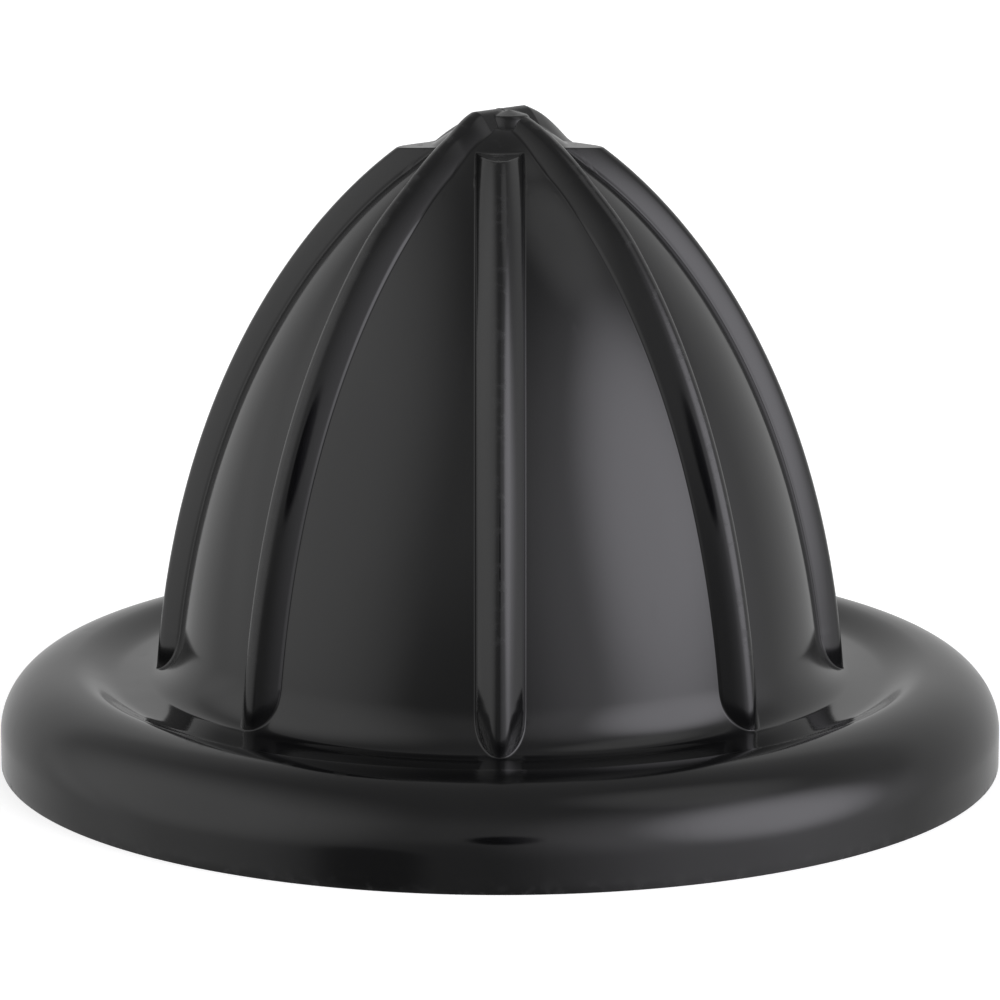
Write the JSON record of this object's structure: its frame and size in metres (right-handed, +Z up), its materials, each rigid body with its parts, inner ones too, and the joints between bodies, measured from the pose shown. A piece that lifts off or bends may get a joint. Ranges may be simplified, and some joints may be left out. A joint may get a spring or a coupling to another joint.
{
  "type": "citrus juicer reamer cone",
  "caption": "Black ribbed reamer cone of an electric citrus juicer on a round skirt, with a drive hub, metal bush and rubber grip ring underneath.",
  "frame": {"origin": "centre of the circle the rim's bottom edge stands on", "axes": "+Z up along the axis the cone turns on, -Y towards the front short rib, which faces the camera in the picture, +X to the right in the picture"},
  "size_m": [0.095, 0.095, 0.0619],
  "materials": {
    "reamer_cone": "high gloss moulded black plastic",
    "drive_hub": "plain moulded, dark grey",
    "drive_bush": "turned stainless steel",
    "grip_ring": "soft silicone, dull red"
  },
  "bodies": {
    "root": {"reamer_cone": "reamer_cone", "drive_hub": "drive_hub", "drive_bush": "drive_bush", "grip_ring": "grip_ring"}
  },
  "joints": []
}
